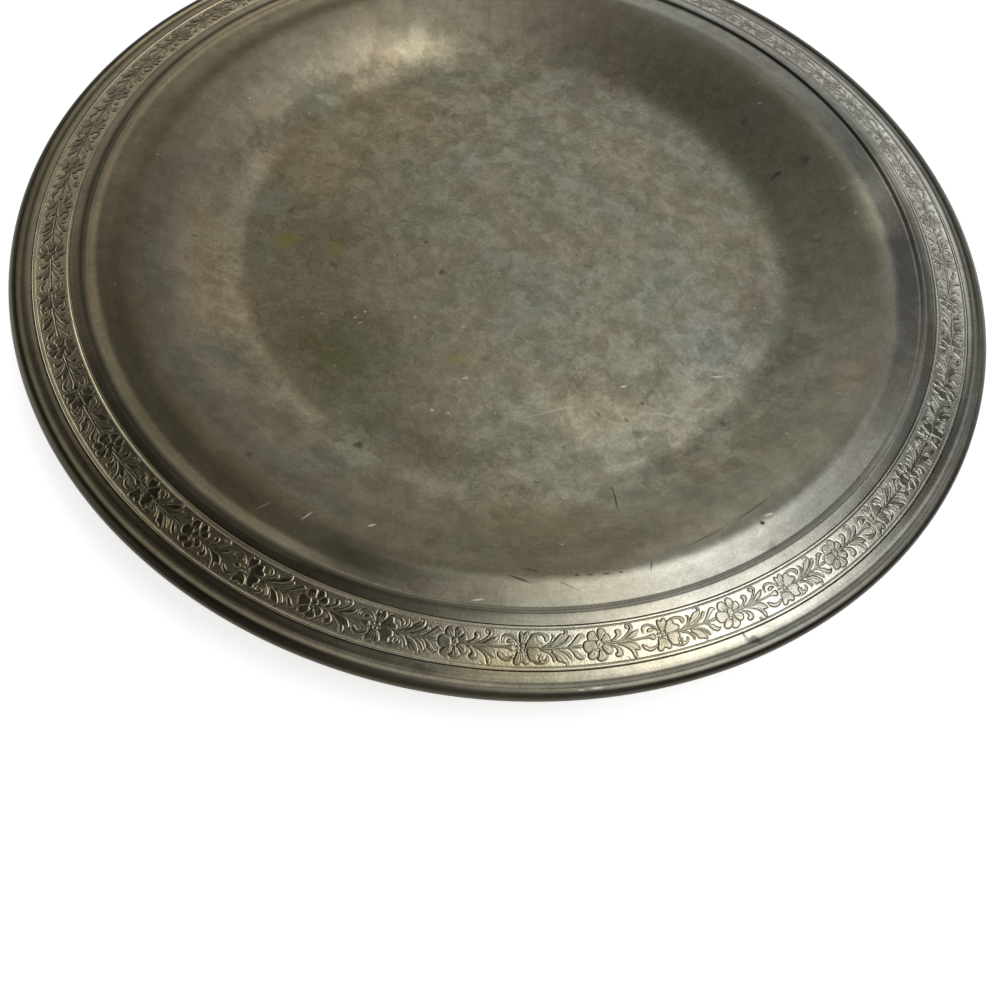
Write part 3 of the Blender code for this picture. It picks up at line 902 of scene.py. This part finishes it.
def raggedPlace(kit, flat):
    # a place that wanders, so that stains get uneven edges
    warp = kit.add("ShaderNodeTexNoise", {"Vector": flat, "Scale": 190.0, "Detail": 4.0, "Roughness": 0.6})
    warp = kit.add("ShaderNodeSeparateColor", {"Color": warp.outputs["Color"]}).outputs
    warp = kit.add("ShaderNodeCombineXYZ", {"X": warp[0], "Y": warp[1], "Z": warp[2]}).outputs[0]
    warp = kit.vector("SUBTRACT", warp, (0.5, 0.5, 0.5))
    warp = kit.vector("MULTIPLY", warp, (6 * mm, 6 * mm, 0))
    return kit.vector("ADD", flat, warp)


def onSide(kit, unit, name):
    direction, start, full = sides[name]
    return kit.ramp(kit.vector("DOT_PRODUCT", unit, direction), start, full)


def band(kit, radius, name):
    start, full, last, end = bands[name]
    return kit.times(kit.reach(radius, (start, full)), kit.reach(radius, (end, last)))


def baseColour(kit, radius, across, unit, ragged):
    # the floor's, wall's and flange's colour, and how it differs from side to side, with painted shade on the
    # left and painted highlights where the light falls
    look = pewterLook
    # painted shade and light: the wall darker on the left, lighter on the right
    wall = kit.mix(onSide(kit, unit, "right"), look["wallPaintedShadeLeft"], look["wallPaintedLightRight"])
    colour = kit.mix(kit.reach(radius, spans["wall"]), look["floor"], wall)
    colour = kit.mix(kit.reach(radius, spans["flange"]), colour, look["flange"])
    offWall = kit.maths("SUBTRACT", 1.0, band(kit, radius, "wall"))
    brown = kit.times(kit.reach(across, spans["brownAcross"]), offWall)
    change = kit.mix(brown, (1, 1, 1), look["brown"])
    cool = kit.times(kit.reach(across, spans["coolAcross"]), kit.reach(radius, spans["cool"]))
    change = kit.mix(cool, change, look["cool"])
    colour = kit.mix(1.0, colour, change, "MULTIPLY")
    # patina differences, and painted highlights and shade
    for middle, sizes, turn, change in patinaAndLightZones:
        colour = kit.tint(colour, spotMask(kit, ragged, middle, sizes, turn, 0.0), change)
    # painted shade on the top of the wall on the left
    wallTopShade = kit.times(band(kit, radius, "wallTopShade"), onSide(kit, unit, "left"))
    colour = kit.tint(colour, wallTopShade, look["wallTopShade"])
    # painted shade on the shoulder at the near left
    shoulder = kit.times(band(kit, radius, "shoulder"), onSide(kit, unit, "nearLeftShade"))
    return kit.tint(colour, shoulder, look["nearLeftShade"])


def mottle(kit, colour, flat, ragged, inWell):
    # patches of thicker and thinner patina, with the edges of the smaller ones quite sharp
    patches = [kit.ramp(kit.noise(ragged, *cloud), *part) for cloud, part, thick, thin in mottling]
    veins = kit.maths("ABSOLUTE", kit.maths("SUBTRACT", kit.noise(ragged, 85.0, 4.0, 0.6), 0.5))
    broken = kit.ramp(kit.noise(flat, 55.0), 0.4, 0.6)
    veins = kit.times(kit.ramp(veins, 0.0, 0.022, 1.0, 0.0), broken)
    fine = kit.ramp(kit.noise(flat, 1100.0, 4.0, 0.7), 0.3, 0.7, 0.87, 1.13)
    tone = (1, 1, 1)
    for amount, (cloud, part, thick, thin) in zip(patches, mottling):
        tone = kit.mix(1.0, tone, kit.mix(amount, thick, thin), "MULTIPLY")
    tone = kit.shade(kit.tint(tone, veins, pewterLook["vein"]), fine)
    tone = kit.mix(kit.ramp(inWell, 0.0, 1.0, 0.55, 1.0), (1, 1, 1), tone)
    return kit.mix(1.0, colour, tone, "MULTIPLY"), patches[1]


def turnedGrain(kit, colour, flat, radius, unit):
    # turning marks run round the bowl, and the polished flange has a fine grain
    streaks = kit.vector("MULTIPLY", unit, (14, 14, 14))
    marks = kit.add("ShaderNodeCombineXYZ", {"Z": kit.times(radius, 900.0)}).outputs[0]
    turned = kit.noise(kit.vector("ADD", streaks, marks), 1.0, 3.0, 0.6)
    colour = kit.shade(colour, kit.ramp(turned, 0.25, 0.75, 0.94, 1.06))
    grain = kit.ramp(kit.noise(flat, 2300.0, 2.0, 0.6), 0.3, 0.7, 0.92, 1.08)
    grain = kit.add("ShaderNodeMix", {0: kit.reach(radius, spans["grain"]), 2: 1.0, 3: grain}).outputs[0]
    return kit.shade(colour, grain)


def paintMarks(kit, colour, place, marks):
    for middle, sizes, turn, tint, strength in marks:
        amount = kit.times(spotMask(kit, place, middle, sizes, turn), strength)
        colour = kit.mix(amount, colour, tint)
    return colour


def paintSpecks(kit, colour, flat, ragged):
    bright = speckMask(kit, flat, *brightSpecks)
    for hairs in brightHairs:
        bright = kit.maths("MAXIMUM", bright, speckMask(kit, ragged, *hairs))
    colour = kit.mix(kit.times(bright, 0.55), colour, brightCut)
    dark = speckMask(kit, ragged, *darkSpecks)
    dark = kit.maths("MAXIMUM", dark, speckMask(kit, ragged, *darkHairs))
    return kit.mix(kit.times(dark, 0.5), colour, pewterLook["dirtAndShade"])


def patina(kit, place):
    # the metal's colour and roughness wherever it is on the bowl
    look = pewterLook
    flat = kit.vector("MULTIPLY", place, (1, 1, 0))
    radius = kit.vector("LENGTH", flat)
    ragged = raggedPlace(kit, flat)
    across = kit.add("ShaderNodeSeparateXYZ", {0: place}).outputs["X"]
    inWell = kit.reach(radius, spans["well"])
    unit = kit.vector("NORMALIZE", flat)
    colour = baseColour(kit, radius, across, unit, ragged)
    colour, patches = mottle(kit, colour, flat, ragged, inWell)
    colour = turnedGrain(kit, colour, flat, radius, unit)
    colour = paintMarks(kit, colour, ragged, spots)
    colour = paintSpecks(kit, colour, flat, ragged)
    colour = paintMarks(kit, colour, flat, scratches)

    uneven = kit.times(kit.noise(ragged, 120.0, 3.0), look["polishWander"])
    uneven = kit.maths("ADD", radius, uneven)
    rough = kit.reach(uneven, spans["polish"], look["wellRoughness"], look["flangeRoughness"])
    # the left of the shoulder was never polished so bright; the step there is painted lighter as a highlight
    # and the roll painted darker as shade
    dull = kit.times(kit.reach(across, spans["dullAcross"]), kit.reach(radius, spans["dull"]))
    rough = kit.maths("MAXIMUM", rough, kit.ramp(dull, 0.0, 1.0, 0.0, look["dullRoughness"]))
    # painted highlight on the step on the left
    stepHighlight = kit.times(band(kit, radius, "step"), kit.reach(across, spans["stepHighlightAcross"]))
    colour = kit.tint(colour, stepHighlight, look["stepHighlight"])
    # painted shade on the roll at the left
    roll = kit.times(kit.reach(across, spans["rollShadeAcross"]), kit.reach(radius, spans["roll"]))
    colour = kit.tint(colour, roll, look["roll"])
    patches = kit.times(kit.ramp(patches, 0.0, 1.0, 0.04, -0.04), inWell)
    return colour, flat, radius, kit.maths("ADD", rough, patches)


def addGrain(kit, shader, flat, strength):
    uneven = kit.noise(flat, 900.0, 5.0, 0.6)
    bump = kit.add("ShaderNodeBump", {"Strength": strength, "Distance": 0.05 * mm, "Height": uneven})
    kit.feed(shader.inputs["Normal"], bump.outputs["Normal"])


# Lines of dark, in the step, beside the strip and in the crease: radius, half width, strength right and left.
# Beside the strip it is dirt in the joints; in the step it is dirt and painted shade, and the wide line on
# the left and the one in the crease are painted shade
dirtAndShadeLines = [
    (stepRadius - 0.6 * mm, 0.7 * mm, 0.4, 0.3),
    # painted shade over the margin on the left
    (stepRadius + 0.05 * mm, 1.7 * mm, 0.0, 0.85),
    (seatInner, 0.22 * mm, 0.8, 0.8),
    (seatOuter, 0.22 * mm, 0.8, 0.8),
    # painted shade on the roll's inner side past the crease
    (creaseRadius + 1.0 * mm, 1.6 * mm, 0.35, 0.15),
]


def makePewter():
    look = pewterLook
    material, kit, shader, place = newMetal("agedPewter", look["wellRoughness"])
    colour, flat, radius, rough = patina(kit, place)
    axes = kit.add("ShaderNodeSeparateXYZ", {0: place}).outputs
    leftward = kit.reach(axes["X"], spans["dirtAndShadeAcross"])
    # dirt in the joints and painted shade in the step and crease
    for middle, width, right, left in dirtAndShadeLines:
        away = kit.maths("ABSOLUTE", kit.maths("SUBTRACT", radius, middle))
        strength = kit.ramp(leftward, 0.0, 1.0, right, left)
        amount = kit.times(kit.ramp(away, 0.0, width, 1.0, 0.0), strength)
        colour = kit.mix(amount, colour, look["dirtAndShade"])
    # painted shade: the roll is painted dark on its outer side and below, where it faces the floor under the
    # rim, which also moves its highlight inward
    most = look["paintedRollShade"]
    outer = kit.ramp(radius, rimRadius - 2.8 * mm, rimRadius - 1.0 * mm, 0.0, most)
    onRoll = kit.ramp(radius, creaseRadius, creaseRadius + 1 * mm, 0.0, most)
    below = kit.times(kit.ramp(axes["Z"], rollMiddle.y, rollMiddle.y - 1 * mm), onRoll)
    colour = kit.mix(kit.maths("MAXIMUM", outer, below), colour, look["dirtAndShade"])
    rollRough = kit.ramp(radius, creaseRadius, rimRadius, *look["rollRoughness"])
    kit.feed(shader.inputs["Base Color"], colour)
    kit.feed(shader.inputs["Roughness"], kit.maths("MAXIMUM", rough, rollRough))
    addGrain(kit, shader, flat, look["grain"])
    return material


borderLook = {
    "ground": (1.50, 1.50, 1.50),    # tints of the patina
    "shapes": (0.86, 0.85, 0.83),
    "outline": (0.085, 0.075, 0.055),
    "outlineStrength": 0.6,
    "roughness": (0.27, 0.24),       # of the ground and of the shapes
    "grain": 0.25,
}


def makeBorderPewter():
    look = borderLook
    material, kit, shader, place = newMetal("borderPewter", 0.4)
    colour, flat = patina(kit, place)[:2]
    shape = kit.add("ShaderNodeAttribute", attribute_name="shapeMask").outputs["Fac"]
    line = kit.add("ShaderNodeAttribute", attribute_name="outlineMask").outputs["Fac"]
    colour = kit.mix(1.0, colour, kit.mix(shape, look["ground"], look["shapes"]), "MULTIPLY")
    colour = kit.mix(kit.times(line, look["outlineStrength"]), colour, look["outline"])
    kit.feed(shader.inputs["Base Color"], colour)
    kit.feed(shader.inputs["Roughness"], kit.ramp(shape, 0.0, 1.0, *look["roughness"]))
    addGrain(kit, shader, flat, look["grain"])
    return material


def makePlainPewter(name, colour, roughness):
    material, kit, shader, place = newMetal(name, roughness)
    patches = kit.noise(place, 120.0, 4.0, 0.6)
    darker = tuple(0.8 * c for c in colour)
    kit.feed(shader.inputs["Base Color"], kit.mix(kit.ramp(patches, 0.3, 0.7), colour, darker))
    return material


pewter = makePewter()
borderPewter = makeBorderPewter()
footPewter = makePlainPewter("footPewter", (0.30, 0.28, 0.22), 0.4)
wirePewter = makePlainPewter("wirePewter", (0.42, 0.40, 0.36), 0.45)
greySolder = makePlainPewter("greySolder", (0.45, 0.44, 0.41), 0.5)
print("finishes made")

placePiece(makeBody(), "bowl_body", pewter)
for number in range(ornament["pieces"]):
    placePiece(makeStripPiece(number), "ornament_border", borderPewter)


wireSteps = 240


def makeWire():
    return turnPiece("rimWire", arc(rollMiddle, wireRadius, 0.0, 2 * math.pi, 20)[:-1], wireSteps)


def makeRimSolder():
    angle = seamAngles()[0]
    orbit = rollRadius - sheet / 2
    middle = rollMiddle + Vector((math.cos(angle), math.sin(angle))) * orbit
    return turnPiece("rimSolder", arc(middle, bodyShape["seamBead"], 0.0, 2 * math.pi, 12)[:-1], wireSteps)


footShape = {
    "flare": 0.9 * mm,
    "wall": 1.3 * mm,
    "bead": 1.1 * mm,
    "round": 0.35 * mm,
    "fillet": 1.2 * mm,
    "turnSteps": 288,
}


def makeFoot():
    outer = footHigh.x
    top = footHigh.z
    bead, small = footShape["bead"], footShape["round"]
    outerWall = outer - footShape["flare"]
    innerWall = outerWall - footShape["wall"]
    outline = [Vector((innerWall + small / 2, 0.0))]
    outline += arc((outer - small, small), small, -math.pi / 2, 0.0, 6)
    outline += arc((outer - small, bead - small), small, 0.0, math.pi / 4, 3)
    outline += arc((outerWall + small, bead + small), small, -math.pi / 2, -math.pi, 6)
    outline += [Vector((outerWall, top)), Vector((innerWall, top))]
    outline += arc((innerWall + small / 2, small / 2), small / 2, math.pi, 1.5 * math.pi, 4)[:-1]
    return turnPiece("footRing", outline, footShape["turnSteps"])


def makeFootSolder():
    fillet = footShape["fillet"]
    corner = (filletHigh.x, filletHigh.z)
    hollow = (corner[0] - fillet, corner[1] - fillet)
    outline = [Vector(corner)] + arc(hollow, fillet, 0.0, math.pi / 2, 10)
    return turnPiece("footSolder", outline, footShape["turnSteps"])


placePiece(makeWire(), "rim_wire", wirePewter)
placePiece(makeRimSolder(), "rim_solder", greySolder)
placePiece(makeFoot(), "foot_ring", footPewter)
placePiece(makeFootSolder(), "foot_solder", greySolder)

# Studio: a pale floor, soft light from the world, and the camera of the photograph

studio = {
    "floorSize": 6.0,
    "floorColour": (0.9, 0.9, 0.9),
    "floorGlow": 0.62,
    "around": 0.0,
    # azimuth from +Y towards +X, height, reach (degrees), level
    "lights": [
        # a window high on the right: a row of bright panes, with paler ones round it
        (38, 62, 15, 2.00),
        (65, 62, 15, 1.00),
        (90, 60, 17, 2.60),
        (115, 62, 15, 1.00),
        (90, 48, 15, 1.20),
        (75, 74, 20, 0.80),
        (110, 74, 18, 0.55),
        (15, 60, 18, 0.45),
        # the far side of the room, brighter low on the right and on the left
        (0, 22, 30, 0.85),
        (45, 4, 32, 1.70),
        (-45, 18, 30, 0.42),
        (-90, 22, 30, 1.10),
        (-80, 2, 30, 1.50),
        (-28, 48, 28, 0.05),
        # weak light from behind the camera
        (-170, 60, 35, 0.14),
        (180, 25, 60, 0.40),
    ],
}


def makeFloor():
    bm = bmesh.new()
    bmesh.ops.create_grid(bm, x_segments=1, y_segments=1, size=studio["floorSize"] / 2)
    mesh = bpy.data.meshes.new("paleFloor")
    bm.to_mesh(mesh)
    bm.free()
    floor = bpy.data.objects.new("paleFloor", mesh)
    bpy.context.scene.collection.objects.link(floor)
    material = bpy.data.materials.new("paleFloor")
    material.use_nodes = True
    tree = material.node_tree
    shader = tree.nodes["Principled BSDF"]
    shader.inputs["Base Color"].default_value = (*studio["floorColour"], 1.0)
    shader.inputs["Roughness"].default_value = 1.0
    shader.inputs["Specular IOR Level"].default_value = 0.0
    kit = Nodes(tree)
    rays = kit.add("ShaderNodeLightPath").outputs
    seen = kit.maths("ADD", rays["Is Camera Ray"], rays["Is Glossy Ray"])
    seen = kit.maths("ADD", seen, rays["Is Transmission Ray"], clamp=True)
    shader.inputs["Emission Color"].default_value = (1, 1, 1, 1)
    kit.feed(shader.inputs["Emission Strength"], kit.times(seen, studio["floorGlow"]))
    mesh.materials.append(material)


def makeWorld():
    world = bpy.data.worlds.new("softStudio")
    world.use_nodes = True
    bpy.context.scene.world = world
    kit = Nodes(world.node_tree)
    direction = kit.add("ShaderNodeTexCoord").outputs["Generated"]
    level = studio["around"]
    for azimuth, height, reach, strength in studio["lights"]:
        az, el = math.radians(azimuth), math.radians(height)
        towards = (math.sin(az) * math.cos(el), math.cos(az) * math.cos(el), math.sin(el))
        facing = kit.vector("DOT_PRODUCT", direction, towards)
        lit = kit.ramp(facing, math.cos(math.radians(reach)), 1.0, 0.0, strength)
        level = kit.maths("ADD", level, lit)
    background = world.node_tree.nodes["Background"]
    background.inputs["Color"].default_value = (1, 1, 1, 1)
    kit.feed(background.inputs["Strength"], level)


photoView = {
    "lens": 27.036,
    "sensor": 36.0,
    "nearest": 0.01,
    "back": 1.220,       # rim radii from the middle of the bowl
    "height": 1.183,     # rim radii above the middle of the rolled edge
    "yaw": math.radians(3.39),
    "down": math.radians(64.45),
    "roll": math.radians(10.89),
}


def makeCamera():
    data = bpy.data.cameras.new("photoCamera")
    data.lens = photoView["lens"]
    data.sensor_width = photoView["sensor"]
    data.clip_start = photoView["nearest"]
    camera = bpy.data.objects.new("photoCamera", data)
    bpy.context.scene.collection.objects.link(camera)
    yaw, down, roll = photoView["yaw"], photoView["down"], photoView["roll"]
    ahead = Vector((math.sin(yaw) * math.cos(down), math.cos(yaw) * math.cos(down), -math.sin(down)))
    level = Vector((math.cos(yaw), -math.sin(yaw), 0.0))
    lift = level.cross(ahead)
    right = level * math.cos(roll) + lift * math.sin(roll)
    up = lift * math.cos(roll) - level * math.sin(roll)
    camera.matrix_world = Matrix((right, up, -ahead)).transposed().to_4x4()
    camera.location = (0.0, -photoView["back"] * rimRadius, rollMiddle.y + photoView["height"] * rimRadius)
    bpy.context.scene.camera = camera


makeFloor()
makeWorld()
makeCamera()
bpy.context.scene.view_settings.view_transform = "Standard"
print("studio and camera made")
